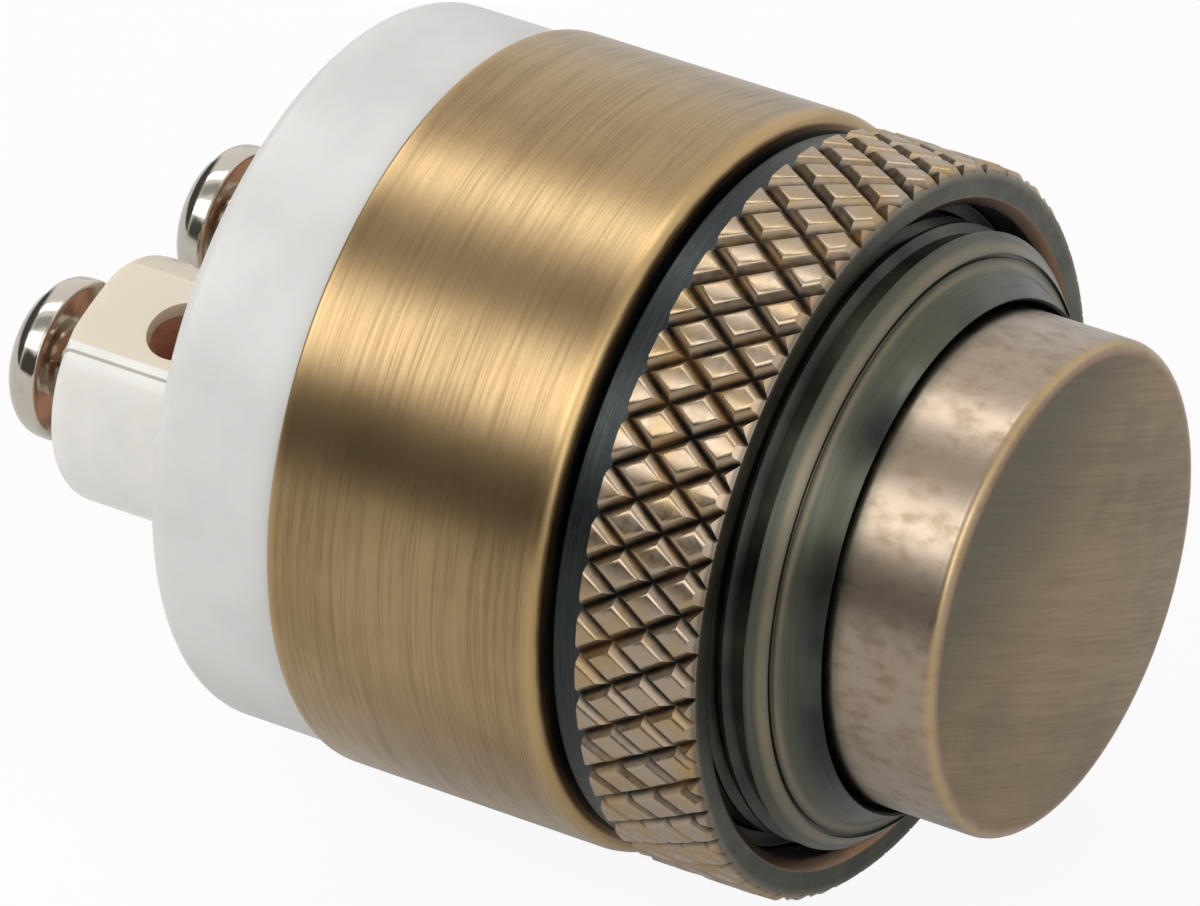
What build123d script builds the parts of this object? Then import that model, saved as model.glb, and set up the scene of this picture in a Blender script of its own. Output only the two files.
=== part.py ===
from build123d import *
import os
from math import ceil, cos, hypot, pi, radians, sin

# A turned brass doorbell push for a hole in a plate. The plate is held between the seat
# on the front of the barrel and a knurled ring on the barrel's threaded neck. The button
# drops in from behind and is kept by the lip of the bezel. A nylon cap closes the barrel,
# and two posts of the terminal block pass through it to the terminal screws.
#
# Every piece is drawn as on a lathe: X to the right, Y up, Z forward, and zero on the
# plate seat. The last step lays the push level, with the button facing -Y and +Z up.
# All sizes are in millimetres. Diameters are worked inward from the barrel's outside.

# Barrel
body_dia = 25.4
body_length = 10.3
body_front_break = 0.45
body_rear_break = 0.15
barrel_wall = 1.6
seat_web = 1.6
shoulder_width = 0.7

# Threaded neck and stepped bezel
neck_length = 6.55
neck_wall = 1.2
bezel_height = 1.9
bezel_chamfer = 0.6
bezel_groove_width = 0.14
bezel_groove_depth = 0.16
bezel_bead_width = 0.4
bezel_bead_rise = 0.22
bezel_bead_bulge = 0.07
bezel_rise_bulge = 0.08
bezel_hole_break = 0.12
lip_thickness = 2.2

# Knurled ring
ring_gap = 0.3
ring_length = 5.55
ring_setback = 0.15
ring_band_length = 1.18
ring_band_step = 0.13
ring_rim = 0.97
ring_front_chamfer = 0.3
ring_mouth_chamfer = 0.35
ring_recess_gap = 0.6
ring_recess_depth = 1.6
ring_thread_clearance = 0.05
ring_edge_break = 0.12
knurl_count = 48
knurl_row_spacing = 1.21
knurl_depth = 0.35
knurl_land = 0.45

# Button
button_clearance = 0.21
button_stand = 3.85
button_crown = 0.45
button_rim_radius = 0.4
button_face = 1.8
button_wall = 1.55
flange_width = 0.65
flange_thickness = 1.2
flange_clearance = 0.2
flange_gap = 0.05
press_travel = 1.8

# Plunger, contact bridge and its retainer
plug_clearance = 0.05
plug_recess = 0.3
stem_dia = 6.0
spigot_end = 0.3
bridge_overlap = 0.8
bridge_thickness = 0.4
bridge_clearance = 0.03
contact_margin = 0.03
retainer_thickness = 0.4
retainer_width = 0.8

# Return spring
spring_peen_gap = 0.5
spring_wire_dia = 0.4
spring_turns = 4
spring_seat_clearance = 0.4
spring_end_gap = 0.02

# Terminal block
block_plate = 2.5
block_clearance = 0.05
post_gap = 1.5
post_margin = 0.3
post_reach = 11.0
post_edge_radius = 0.5
boss_height = 0.8

# Base cap
base_setback = 0.3
base_thickness = 4.9
base_edge_radius = 0.6
base_post_clearance = 0.05
cap_spigot_length = 4.0
cap_spigot_wall = 1.5
cap_bead_height = 0.15
cap_bead_width = 0.8
cap_bead_offset = 2.4

# Terminal inserts
post_wall = 1.0
insert_length = 5.7
insert_recess = 0.3
insert_clearance = 0.03
stud_dia = 2.0
peen_dia = 3.0
peen_height = 0.5
peen_round = 0.3

# Wire entries
wire_hole_dia = 2.5
wire_hole_from_end = 3.6
wire_hole_past_axis = 1.6
wire_hole_lean = 20.0

# Fixed contacts
strip_width = 2.4
strip_thickness = 0.4
strip_foot = 1.8
strip_bend_margin = 0.35
strip_slope = 0.8
strip_pad = 1.7
contact_height = 2.05
contact_dome_dia = 1.5
contact_dome_height = 0.65

# Terminal screws
screw_dia = 3.0
screw_head_dia = 5.6
screw_head_height = 1.9
screw_rim_height = 0.55
screw_edge_break = 0.15
screw_standoff = 1.5
screw_thread_clearance = 0.02
screw_tip_margin = 0.3
screw_tip_chamfer = 0.3
screw_slot_width = 0.8
screw_slot_depth = 0.9

# Diameters of the turned pieces, from the outside in
base_dia = body_dia - 2 * base_setback
ring_tip_dia = body_dia - 2 * ring_setback
ring_groove_dia = ring_tip_dia - 2 * knurl_depth
ring_band_dia = ring_groove_dia - 2 * ring_band_step
ring_recess_dia = ring_band_dia - 2 * ring_rim
neck_dia = ring_recess_dia - 2 * ring_recess_gap
neck_bore_dia = neck_dia - 2 * neck_wall
flange_dia = neck_bore_dia - 2 * flange_clearance
button_dia = flange_dia - 2 * flange_width
button_hole_dia = button_dia + 2 * button_clearance
cup_dia = button_dia - 2 * button_wall

# Diameters inside the barrel, and the places of the posts
barrel_bore_dia = body_dia - 2 * barrel_wall
shoulder_dia = barrel_bore_dia - 2 * shoulder_width
plate_dia = barrel_bore_dia - 2 * block_clearance
cap_spigot_bore_dia = plate_dia - 2 * cap_spigot_wall
post_dia = (cap_spigot_bore_dia - post_gap) / 2 - post_margin
post_spacing = post_dia + post_gap
insert_dia = post_dia - 2 * post_wall
spring_outer_dia = post_spacing - peen_dia - 2 * spring_peen_gap
spring_mean_dia = spring_outer_dia - spring_wire_dia
spring_seat_dia = spring_mean_dia - spring_wire_dia - 2 * spring_seat_clearance
spigot_dia = spring_seat_dia - 2 * retainer_width

# Places along the axis, from the plate seat
body_rear = -body_length
base_rear = body_rear - base_thickness
cap_spigot_front = body_rear + cap_spigot_length
block_front = cap_spigot_front + block_plate
post_rear = body_rear - post_reach
insert_rear = post_rear + insert_recess
insert_front = insert_rear + insert_length
wire_hole_place = post_rear + wire_hole_from_end
bezel_front = neck_length + bezel_height
lip_rear = bezel_front - lip_thickness
flange_front = lip_rear - flange_gap
flange_rear = flange_front - flange_thickness
button_edge = bezel_front + button_stand
cup_floor = button_edge - button_face
contact_tip = block_front + contact_height
bridge_rear = contact_tip + contact_margin + press_travel
bridge_front = bridge_rear + bridge_thickness
ring_front = ring_gap + ring_length
knurl_rear = ring_gap + ring_band_length
knurl_rows = ceil((ring_front - knurl_rear) / knurl_row_spacing)

# Places of the bent strip, outward from its stud
strip_bend = peen_dia / 2 + strip_bend_margin
strip_pad_start = strip_bend + strip_slope
contact_offset = strip_pad_start + strip_pad / 2

post_sides = {"left": -1, "right": 1}
from_below = (Align.CENTER, Align.CENTER, Align.MIN)


def turned(*outline):
    """The solid turned from a closed outline, drawn as radius and forward place."""
    edges = [edge for line in outline for edge in line.edges()]
    return revolve(Plane.XZ * make_face(edges), Axis.Z)


def rod(dia, rear, front, x=0.0):
    """A plain round rod between two places, beside the axis by x."""
    return Pos(x, 0, rear) * Cylinder(dia / 2, front - rear, align=from_below)


def tube(outer_dia, inner_dia, rear, front):
    """A plain turned ring between two places on the axis."""
    return rod(outer_dia, rear, front) - rod(inner_dia, rear, front)


def bezel_line():
    """The bezel from the neck's thread to the button hole: chamfer, groove, bead and rise."""
    neck_r = neck_dia / 2
    step_r = neck_r - bezel_chamfer
    step = neck_length + bezel_chamfer
    groove_floor = step - bezel_groove_depth
    bead_outer = (step_r - bezel_groove_width, step)
    bead_inner = (bead_outer[0] - bezel_bead_width, step + bezel_bead_rise)
    hole_edge = (button_hole_dia / 2 + bezel_hole_break, bezel_front)
    chamfer = Polyline(
        (neck_r, neck_length),
        (step_r, step),
        (step_r, groove_floor),
        (bead_outer[0], groove_floor),
        bead_outer,
    )
    bead = SagittaArc(bead_outer, bead_inner, -bezel_bead_bulge)
    rise = SagittaArc(bead_inner, hole_edge, -bezel_rise_bulge)
    return chamfer, bead, rise


def make_housing():
    """Barrel, plate seat, neck and bezel, turned as one piece of brass."""
    body_r = body_dia / 2
    bore_r = barrel_bore_dia / 2
    neck_r = neck_dia / 2
    hole_r = button_hole_dia / 2
    outside = Polyline(
        (bore_r, body_rear),
        (body_r - body_rear_break, body_rear),
        (body_r, body_rear + body_rear_break),
        (body_r, -body_front_break),
    )
    front_edge = RadiusArc(
        (body_r, -body_front_break), (body_r - body_front_break, 0), -body_front_break
    )
    seat = Polyline((body_r - body_front_break, 0), (neck_r, 0), (neck_r, neck_length))
    inside = Polyline(
        (hole_r + bezel_hole_break, bezel_front),
        (hole_r, bezel_front - bezel_hole_break),
        (hole_r, lip_rear),
        (neck_bore_dia / 2, lip_rear),
        (neck_bore_dia / 2, -seat_web),
        (shoulder_dia / 2, -seat_web),
        (shoulder_dia / 2, block_front),
        (bore_r, block_front),
        (bore_r, body_rear),
    )
    housing = turned(outside, front_edge, seat, *bezel_line(), inside)
    groove_place = body_rear + cap_bead_offset
    groove_half = cap_bead_width / 2 + block_clearance
    groove_dia = barrel_bore_dia + 2 * cap_bead_height
    return housing - rod(groove_dia, groove_place - groove_half, groove_place + groove_half)


def knurl_point(column, row, dia):
    """A point on the knurl's grid, which has two columns to a diamond."""
    angle = pi * column / knurl_count
    place = knurl_rear + knurl_row_spacing * row
    return Vector(dia / 2 * cos(angle), dia / 2 * sin(angle), place)


def knurl_diamond(column, row):
    """Facets of one diamond: its sloping sides, split in two, and the flat land on top.

    The ends of the sleeve cut the diamonds of the first and last rows in half.
    """
    steps = [(1, 0), (0, 1), (-1, 0), (0, -1), (1, 0)]
    if row == 0:
        steps = steps[:3]
    elif row == knurl_rows:
        steps = steps[2:]
    grooves = [knurl_point(column + c, row + r, ring_groove_dia) for c, r in steps]
    lands = [
        knurl_point(column + knurl_land * c, row + knurl_land * r, ring_tip_dia) for c, r in steps
    ]
    facets = []
    for low, next_low, high, next_high in zip(grooves, grooves[1:], lands, lands[1:]):
        facets += [[high, low, next_low], [high, next_low, next_high]]
    facets += [lands[:3]] if len(steps) == 3 else [lands[:3], lands[2:]]
    return facets


def knurl_end(row):
    """The jagged flat face at one end of the knurl, down to the ring's band."""
    corners = []
    for column in range(2 * knurl_count):
        if (column + row) % 2:
            corners.append(knurl_point(column, row, ring_groove_dia))
        else:
            corners.append(knurl_point(column - knurl_land, row, ring_tip_dia))
            corners.append(knurl_point(column + knurl_land, row, ring_tip_dia))
    plane = Plane(origin=(0, 0, corners[0].Z))
    band = (plane * CenterArc((0, 0), ring_band_dia / 2, 0, 360)).edges()
    return Face(Wire.make_polygon(corners, close=True), [Wire(band)])


def make_knurl():
    """The sleeve of diamonds on the ring, faced off in front and chamfered there."""
    facets = [
        Face(Wire.make_polygon(corners, close=True))
        for row in range(knurl_rows + 1)
        for column in range(row % 2, 2 * knurl_count, 2)
        for corners in knurl_diamond(column, row)
    ]
    ends = [knurl_end(0), knurl_end(knurl_rows)]
    sleeve_front = knurl_rear + knurl_row_spacing * knurl_rows
    wall = rod(ring_band_dia, knurl_rear, sleeve_front).faces().filter_by(GeomType.CYLINDER)
    sleeve = Solid(Shell(facets + ends + list(wall)))
    tip_r = ring_tip_dia / 2
    behind_chamfer = Polyline(
        (0, 0),
        (tip_r + ring_front_chamfer, 0),
        (tip_r + ring_front_chamfer, ring_front - 2 * ring_front_chamfer),
        (tip_r - ring_front_chamfer, ring_front),
        (0, ring_front),
        close=True,
    )
    return sleeve & turned(behind_chamfer)


def make_ring():
    """Ring nut: plain band behind, diamond knurl round it and a chamfered recess in front."""
    bore_r = neck_dia / 2 + ring_thread_clearance
    band_r = ring_band_dia / 2
    recess_r = ring_recess_dia / 2
    recess_floor = ring_front - ring_recess_depth
    core = turned(
        Polyline(
            (bore_r, ring_gap),
            (band_r - ring_edge_break, ring_gap),
            (band_r, ring_gap + ring_edge_break),
            (band_r, ring_front),
            (recess_r + ring_mouth_chamfer, ring_front),
            (recess_r, ring_front - ring_mouth_chamfer),
            (recess_r, recess_floor),
            (bore_r, recess_floor),
            close=True,
        )
    )
    return core + make_knurl()


def make_button():
    """Turned cup with a domed face, a rounded rim and the flange that keeps it in."""
    button_r = button_dia / 2
    flange_r = flange_dia / 2
    cup_r = cup_dia / 2
    rim_side = (button_r, button_edge - button_rim_radius)
    rim_front = (button_r - button_rim_radius, button_edge)
    side = Polyline(
        (0, cup_floor),
        (cup_r, cup_floor),
        (cup_r, flange_rear),
        (flange_r, flange_rear),
        (flange_r, flange_front),
        (button_r, flange_front),
        rim_side,
    )
    rim = RadiusArc(rim_side, rim_front, -button_rim_radius)
    crown = (0, button_edge + button_crown)
    crown_r = (rim_front[0] ** 2 + button_crown**2) / (2 * button_crown)
    face = RadiusArc(rim_front, crown, -crown_r)
    return turned(side, rim, face, Line(crown, (0, cup_floor)))


def make_plunger():
    """Nylon plug in the button's cup, with a stem and the spigot that carries the bridge."""
    plug_r = cup_dia / 2 - plug_clearance
    plug_rear = flange_rear + plug_recess
    spigot_rear = bridge_rear - retainer_thickness - spigot_end
    return turned(
        Polyline(
            (0, cup_floor),
            (plug_r, cup_floor),
            (plug_r, plug_rear),
            (stem_dia / 2, plug_rear),
            (stem_dia / 2, bridge_front),
            (spigot_dia / 2, bridge_front),
            (spigot_dia / 2, spigot_rear),
            (0, spigot_rear),
            close=True,
        )
    )


def make_bridge():
    """The disc that joins the two fixed contacts when the button is pressed."""
    bridge_dia = 2 * (hypot(post_spacing / 2, contact_offset) + bridge_overlap)
    return tube(bridge_dia, spigot_dia + 2 * bridge_clearance, bridge_rear, bridge_front)


def make_retainer():
    """Push-on washer that holds the bridge against the stem."""
    rear = bridge_rear - retainer_thickness
    return tube(spring_seat_dia, spigot_dia + 2 * bridge_clearance, rear, bridge_rear)


def make_spring():
    """Coil spring from the terminal block to the bridge."""
    rear = block_front + spring_end_gap + spring_wire_dia / 2
    front = bridge_rear - spring_end_gap - spring_wire_dia / 2
    pitch = (front - rear) / spring_turns
    path = Pos(0, 0, rear) * Helix(pitch, front - rear, spring_mean_dia / 2)
    wire = Plane(origin=path @ 0, z_dir=path % 0) * Circle(spring_wire_dia / 2)
    return sweep(wire, path=path, is_frenet=True)


def wire_hole(side, inner_end, outer_end):
    """The wire's way into one post, leaning outward from upright."""
    lean = radians(wire_hole_lean)
    plane = Plane(
        origin=(side * post_spacing / 2, 0, wire_hole_place),
        x_dir=(0, 0, 1),
        z_dir=(side * sin(lean), cos(lean), 0),
    )
    return plane * rod(wire_hole_dia, inner_end, outer_end)


def make_block():
    """Ivory moulding: plate against the barrel's shoulder and two posts through the cap."""
    block = rod(plate_dia, cap_spigot_front, block_front)
    block += rod(spring_seat_dia, block_front, block_front + boss_height)
    for side in post_sides.values():
        post = rod(post_dia, post_rear, cap_spigot_front, side * post_spacing / 2)
        block += fillet(post.edges().sort_by(Axis.Z)[0], post_edge_radius)
    for side in post_sides.values():
        x = side * post_spacing / 2
        block -= rod(insert_dia + 2 * insert_clearance, post_rear, insert_front, x)
        block -= rod(stud_dia + 2 * insert_clearance, insert_front, block_front, x)
        block -= wire_hole(side, 0, post_dia)
    return block


def make_cap():
    """Nylon base cap: a thick disc with a rounded rear edge and a snap-in spigot."""
    disc = rod(base_dia, base_rear, body_rear)
    cap = fillet(disc.edges().sort_by(Axis.Z)[0], base_edge_radius)
    cap += tube(plate_dia, cap_spigot_bore_dia, body_rear, cap_spigot_front)
    bead_r = plate_dia / 2
    root_r = bead_r - cap_bead_height
    bead_place = body_rear + cap_bead_offset
    bead_rear = bead_place - cap_bead_width / 2
    bead_front = bead_place + cap_bead_width / 2
    bead = ThreePointArc(
        (bead_r, bead_rear), (bead_r + cap_bead_height, bead_place), (bead_r, bead_front)
    )
    root = Polyline(
        (bead_r, bead_front), (root_r, bead_front), (root_r, bead_rear), (bead_r, bead_rear)
    )
    cap += turned(bead, root)
    for side in post_sides.values():
        hole_dia = post_dia + 2 * base_post_clearance
        cap -= rod(hole_dia, base_rear, cap_spigot_front, side * post_spacing / 2)
    return cap


def make_insert(side):
    """Brass pillar in a post, with a stud peened over the fixed contact."""
    x = side * post_spacing / 2
    strip_front = block_front + strip_thickness
    insert = rod(insert_dia, insert_rear, insert_front, x)
    insert += rod(stud_dia, insert_front, strip_front, x)
    peen = rod(peen_dia, strip_front, strip_front + peen_height, x)
    insert += fillet(peen.edges().sort_by(Axis.Z)[-1], peen_round)
    thread_dia = screw_dia + 2 * screw_thread_clearance
    insert -= rod(thread_dia, insert_rear, wire_hole_place + wire_hole_dia / 2, x)
    return insert - wire_hole(side, -wire_hole_past_axis, insert_dia)


def make_contact(side):
    """Bent brass strip under the stud's head, with a domed contact on its raised end."""
    x = side * post_spacing / 2
    low = block_front
    high = contact_tip - contact_dome_height
    pad_end = strip_pad_start + strip_pad
    half = strip_thickness / 2
    outline = Polyline(
        (-strip_foot, low),
        (strip_bend, low),
        (strip_pad_start, high - strip_thickness),
        (pad_end, high - strip_thickness),
        (pad_end, high),
        (strip_pad_start - half, high),
        (strip_bend - half, low + strip_thickness),
        (-strip_foot, low + strip_thickness),
        close=True,
    )
    side_plane = Plane(origin=(x - strip_width / 2, 0, 0), x_dir=(0, 1, 0), z_dir=(1, 0, 0))
    strip = extrude(side_plane * make_face(outline.edges()), strip_width)
    strip -= rod(stud_dia + 2 * insert_clearance, low, low + strip_thickness, x)
    base_r = contact_dome_dia / 2
    dome_r = (base_r**2 + contact_dome_height**2) / (2 * contact_dome_height)
    dome = turned(
        Polyline((0, contact_dome_height), (0, 0), (base_r, 0)),
        RadiusArc((base_r, 0), (0, contact_dome_height), -dome_r),
    )
    return strip + Pos(x, contact_offset, high) * dome


def make_screw(side):
    """Pan-head terminal screw, backed out far enough to leave the wire entry open."""
    under_head = post_rear - screw_standoff
    rim = under_head - screw_rim_height
    top = under_head - screw_head_height
    tip = wire_hole_place - wire_hole_dia / 2 - screw_tip_margin
    head_r = screw_head_dia / 2
    shank_r = screw_dia / 2
    dome_height = screw_head_height - screw_rim_height
    shank = Polyline(
        (0, top),
        (0, tip),
        (shank_r - screw_tip_chamfer, tip),
        (shank_r, tip - screw_tip_chamfer),
        (shank_r, under_head),
        (head_r - screw_edge_break, under_head),
        (head_r, under_head - screw_edge_break),
        (head_r, rim),
    )
    dome = EllipticalCenterArc((0, rim), head_r, dome_height, start_angle=270)
    screw = turned(shank, dome)
    slot = Box(screw_slot_width, screw_head_dia, screw_slot_depth, align=from_below)
    return Pos(side * post_spacing / 2, 0, 0) * (screw - Pos(0, 0, top) * slot)


def make_all():
    """Every piece of the push by name."""
    pieces = {
        "housing": make_housing(),
        "knurled_ring": make_ring(),
        "button": make_button(),
        "plunger": make_plunger(),
        "contact_bridge": make_bridge(),
        "bridge_retainer": make_retainer(),
        "return_spring": make_spring(),
        "terminal_block": make_block(),
        "base_cap": make_cap(),
    }
    for name, side in post_sides.items():
        pieces[f"terminal_insert_{name}"] = make_insert(side)
        pieces[f"fixed_contact_{name}"] = make_contact(side)
        pieces[f"terminal_screw_{name}"] = make_screw(side)
    return pieces


os.makedirs("parts", exist_ok=True)
level = Rot(90, 0, 0)
for name, piece in make_all().items():
    export_step(level * piece, f"parts/{name}.step")
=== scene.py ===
from math import ceil, cos, pi, radians, sin, sqrt
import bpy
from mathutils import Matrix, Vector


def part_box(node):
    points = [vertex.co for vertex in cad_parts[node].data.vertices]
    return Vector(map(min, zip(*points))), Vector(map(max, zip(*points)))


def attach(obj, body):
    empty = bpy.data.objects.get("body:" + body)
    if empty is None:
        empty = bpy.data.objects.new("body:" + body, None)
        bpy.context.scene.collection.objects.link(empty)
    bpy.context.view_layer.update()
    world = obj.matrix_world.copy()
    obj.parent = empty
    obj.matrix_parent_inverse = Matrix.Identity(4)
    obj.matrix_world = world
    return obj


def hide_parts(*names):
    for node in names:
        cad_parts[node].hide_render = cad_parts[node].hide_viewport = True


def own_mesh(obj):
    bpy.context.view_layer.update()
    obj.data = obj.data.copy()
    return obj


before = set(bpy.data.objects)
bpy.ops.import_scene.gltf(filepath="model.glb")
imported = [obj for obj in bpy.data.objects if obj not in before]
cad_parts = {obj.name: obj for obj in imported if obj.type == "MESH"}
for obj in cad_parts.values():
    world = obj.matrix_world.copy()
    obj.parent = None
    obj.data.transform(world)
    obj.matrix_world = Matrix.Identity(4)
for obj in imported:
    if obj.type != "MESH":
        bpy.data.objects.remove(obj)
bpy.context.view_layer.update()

from types import SimpleNamespace

import bmesh
import bpy
from bpy.props import FloatProperty, FloatVectorProperty, IntProperty, PointerProperty
from mathutils import Matrix, Vector

bl_info = {
    "name": "Brass doorbell push",
    "version": (1, 0, 0),
    "blender": (4, 5, 0),
    "location": "3D View > Sidebar > Push",
    "description": "Turns, knurls and finishes the pieces of a brass doorbell push",
    "category": "Object",
}

# The push lies along Y with its button facing -Y. Pieces are modelled in millimetres and
# brought to metres when they are finished.
MM = 0.001
AXIS = (0, 1, 0)
TURN_STEPS = 160
POST_STEPS = 96
SMALL_STEPS = 64
# Roundings of turned edges, the distance within which corners are merged, and how far a tool
# reaches past the shape that it cuts or joins, all in millimetres
FINE, PLAIN, SOFT, WIDE = 0.04, 0.05, 0.08, 0.1
MERGE = 0.001
OVERLAP = 1.0


def node_front(node):
    """How far a node reaches forward of the plate seat, in millimetres."""
    return -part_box(node)[0].y / MM


def node_rear(node):
    """How far a node reaches behind the plate seat, in millimetres."""
    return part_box(node)[1].y / MM


def node_radius(node):
    """A turned node's outside radius, in millimetres."""
    low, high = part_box(node)
    return (high.x - low.x) / 2 / MM


def length(description, size):
    """A length that the sidebar shows, given in millimetres and kept in metres."""
    return FloatProperty(description=description, default=size * MM, unit="LENGTH", precision=5)


def tilt(description, degrees):
    """An angle that the sidebar shows, given in degrees and kept in radians."""
    return FloatProperty(description=description, default=radians(degrees), subtype="ANGLE")


def colour(description, rgb):
    """A colour that the sidebar shows."""
    return FloatVectorProperty(
        description=description, default=rgb, subtype="COLOR", min=0, max=1
    )


class HousingSizes(bpy.types.PropertyGroup):
    """Barrel, threaded neck and stepped bezel."""

    radius: length("Outside of the barrel", node_radius("housing"))
    rear: length("Rear of the barrel from the plate seat", node_rear("housing"))
    front: length("Front of the bezel from the plate seat", node_front("housing"))
    front_round: length("Rounding of the barrel's front edge", 0.45)
    rear_break: length("Rounding of the barrel's rear edge", 0.15)
    bore: length("Radius of the barrel's bore", 11.1)
    shoulder: length("Radius of the bore in front of its shoulder", 10.4)
    web: length("Thickness of the wall behind the seat", 1.6)
    neck: length("Radius of the neck's thread over its crests", 10.5)
    neck_front: length("Front of the neck", 6.55)
    neck_bore: length("Radius of the bore through the neck", 9.3)
    chamfer: length("Chamfer between the neck and the bezel", 0.6)
    groove_width: length("Fine groove round the bezel's bead", 0.14)
    groove_depth: length("Depth of that groove", 0.16)
    bead_width: length("Bead inside the groove", 0.4)
    bead_rise: length("How far the bead rises", 0.22)
    bead_bulge: length("Bulge of the bead's face", 0.08)
    bulge: length("Bulge of the bezel's rising face", 0.08)
    hole: length("Radius of the button hole", 8.66)
    hole_chamfer: length("Chamfer round the button hole", 0.12)
    lip: length("Thickness of the lip that keeps the button in", 2.2)
    thread_pitch: length("Pitch of the neck's thread", 0.7)
    thread_depth: length("Depth of the neck's thread", 0.3)
    thread_start: length("From the seat to the neck's thread", 0.35)
    thread_end: length("From the neck's thread to its front", 0.15)


class RingSizes(bpy.types.PropertyGroup):
    """Knurled ring nut on the neck."""

    tip: length("Radius over the knurl's tips", node_radius("knurled_ring"))
    front: length("Front of the ring", node_front("knurled_ring"))
    rear: length("Rear of the ring", -node_rear("knurled_ring"))
    band: length("Radius of the plain band behind the knurl", 12.07)
    band_length: length("Length of the plain band", 1.18)
    recess: length("Radius of the recess in the front", 11.1)
    recess_depth: length("Depth of the recess in the front", 1.6)
    mouth: length("Chamfer at the mouth of the recess", 0.35)
    chamfer: length("Chamfer that cuts the front diamonds", 0.3)
    bore: length("Radius of the bore over the neck's thread", 10.55)
    knurl_depth: length("Depth of the knurl's grooves", 0.35)
    knurl_foot: length("How far the knurl reaches below the band", 0.3)
    row_spacing: length("From one row of diamonds to the next", 1.21)
    land_round: length("Rounding of each diamond's worn land", 0.12)
    edge_round: length("Rounding of the turned edges", 0.12)
    count: IntProperty(description="Diamonds round the ring", default=48, min=8)
    land: FloatProperty(
        description="Share of a diamond that is flat", default=0.6, subtype="FACTOR"
    )


class ButtonSizes(bpy.types.PropertyGroup):
    """Domed button and its flange."""

    crown: length("Top of the button's domed face", node_front("button"))
    rear: length("Rear of the button's flange", -node_rear("button"))
    flange: length("Radius of the flange", node_radius("button"))
    flange_thickness: length("Thickness of the flange", 1.2)
    side: length("Radius of the button's side", 8.45)
    crown_height: length("How far the face is domed", 0.45)
    rim_round: length("Rounding of the rim", 0.4)
    face: length("Thickness behind the rim", 1.8)
    cup: length("Radius of the hollow inside", 6.9)


class BaseSizes(bpy.types.PropertyGroup):
    """Nylon base cap and the posts that pass through it."""

    radius: length("Outside of the base", node_radius("base_cap"))
    rear: length("Rear of the base", node_rear("base_cap"))
    spigot_front: length("Front of the spigot", -node_front("base_cap"))
    edge_round: length("Rounding of the base's rear edge", 0.6)
    spigot: length("Outside radius of the spigot", 11.05)
    spigot_bore: length("Inside radius of the spigot", 9.55)
    plate_front: length("Front of the block's plate", 3.8)
    boss: length("Radius of the spring's boss", node_radius("bridge_retainer"))
    boss_front: length("Front of the spring's boss", -node_front("terminal_block"))
    post: length("Radius of a terminal post", 4.25)
    post_offset: length("From the axis to a post's axis", 5.0)
    post_rear: length("Rear of the posts", node_rear("terminal_block"))
    post_round: length("Rounding of a post's end", 0.5)
    post_gap: length("Gap between a post and the base", 0.05)
    insert: length("Radius of the hole for the brass insert", 3.28)
    insert_front: length("Front of the insert's hole", 15.3)
    stud: length("Radius of the hole for the insert's stud", 1.03)
    wire: length("Radius of the wire entry", 1.25)
    wire_place: length("Place of the wire entry", 17.7)
    flat: length("From a post's axis to the flat round its wire entry", 3.75)
    wire_lean: tilt("How far the wire entry leans outward", 20)


class ScrewSizes(bpy.types.PropertyGroup):
    """Pan-head terminal screw."""

    head: length("Radius of the head", node_radius("terminal_screw_left"))
    top: length("Top of the head", node_rear("terminal_screw_left"))
    tip: length("Tip of the shank", -node_front("terminal_screw_left"))
    head_height: length("Height of the head", 1.9)
    rim_height: length("Height of the head's rim", 0.55)
    edge_break: length("Rounding of the head's lower edge", 0.2)
    shank: length("Radius of the shank over its thread", 1.5)
    thread_pitch: length("Pitch of the thread", 0.5)
    thread_depth: length("Depth of the thread", 0.22)
    thread_end: length("From the thread to the head", 0.15)
    tip_width: length("Width of the chamfer at the tip", 0.1)
    tip_length: length("Length of the chamfer at the tip", 0.15)
    slot_width: length("Width of the slot", 0.8)
    slot_depth: length("Depth of the slot", 0.9)


class FinishColours(bpy.types.PropertyGroup):
    """Colours of the push's finishes."""

    brass: colour("Brushed antique brass", (0.38, 0.262, 0.125))
    # The gold is also used as a painted highlight at the barrel's ends.
    gold: colour("Brass that wear has brightened", (0.5, 0.34, 0.15))
    umber: colour("Brown tone of the antique finish", (0.175, 0.11, 0.048))
    slate: colour("Dark tone in the recesses", (0.018, 0.023, 0.026))
    # This grey-green is also painted shade on the button's face and on its side by the hole.
    patina: colour("Grey-green tone of the bezel", (0.085, 0.088, 0.06))
    # This grey-brown is also a painted highlight on the bezel's edges and a painted shade stripe
    # on the posts.
    worn: colour("Grey-brown tone of the bezel's edges", (0.24, 0.2, 0.135))
    face: colour("Brushed face of the button", (0.295, 0.208, 0.108))
    rose: colour("Relieved tips of the knurl", (0.38, 0.3, 0.225))
    copper: colour("Copper tone of worn edges", (0.3, 0.16, 0.08))
    nylon: colour("Cool white nylon of the base", (0.74, 0.74, 0.72))
    ivory: colour("Ivory nylon of the posts", (0.87, 0.85, 0.8))
    beige: colour("Where the posts' brass shows through", (0.72, 0.63, 0.49))
    tarnish: colour("Copper-brown of the inserts", (0.8, 0.46, 0.31))
    nickel: colour("Bright nickel plate", (0.56, 0.51, 0.44))
    steel: colour("Spring steel", (0.5, 0.5, 0.49))


class StageSettings(bpy.types.PropertyGroup):
    """Where the camera stands and what it aims at."""

    azimuth: tilt("Camera's way round", -57.7)
    elevation: tilt("Camera's height", 31.5)
    turn: tilt("Turn of the view about the push's axis", 1)
    distance: length("From the camera to the push", 429.8)
    aim_right: length("Aim to the right of the barrel's rear", 4.075)
    aim_up: length("Aim above the barrel's rear", -1.822)
    lens: FloatProperty(
        description="Focal length in millimetres", default=389.1, unit="CAMERA"
    )


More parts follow.
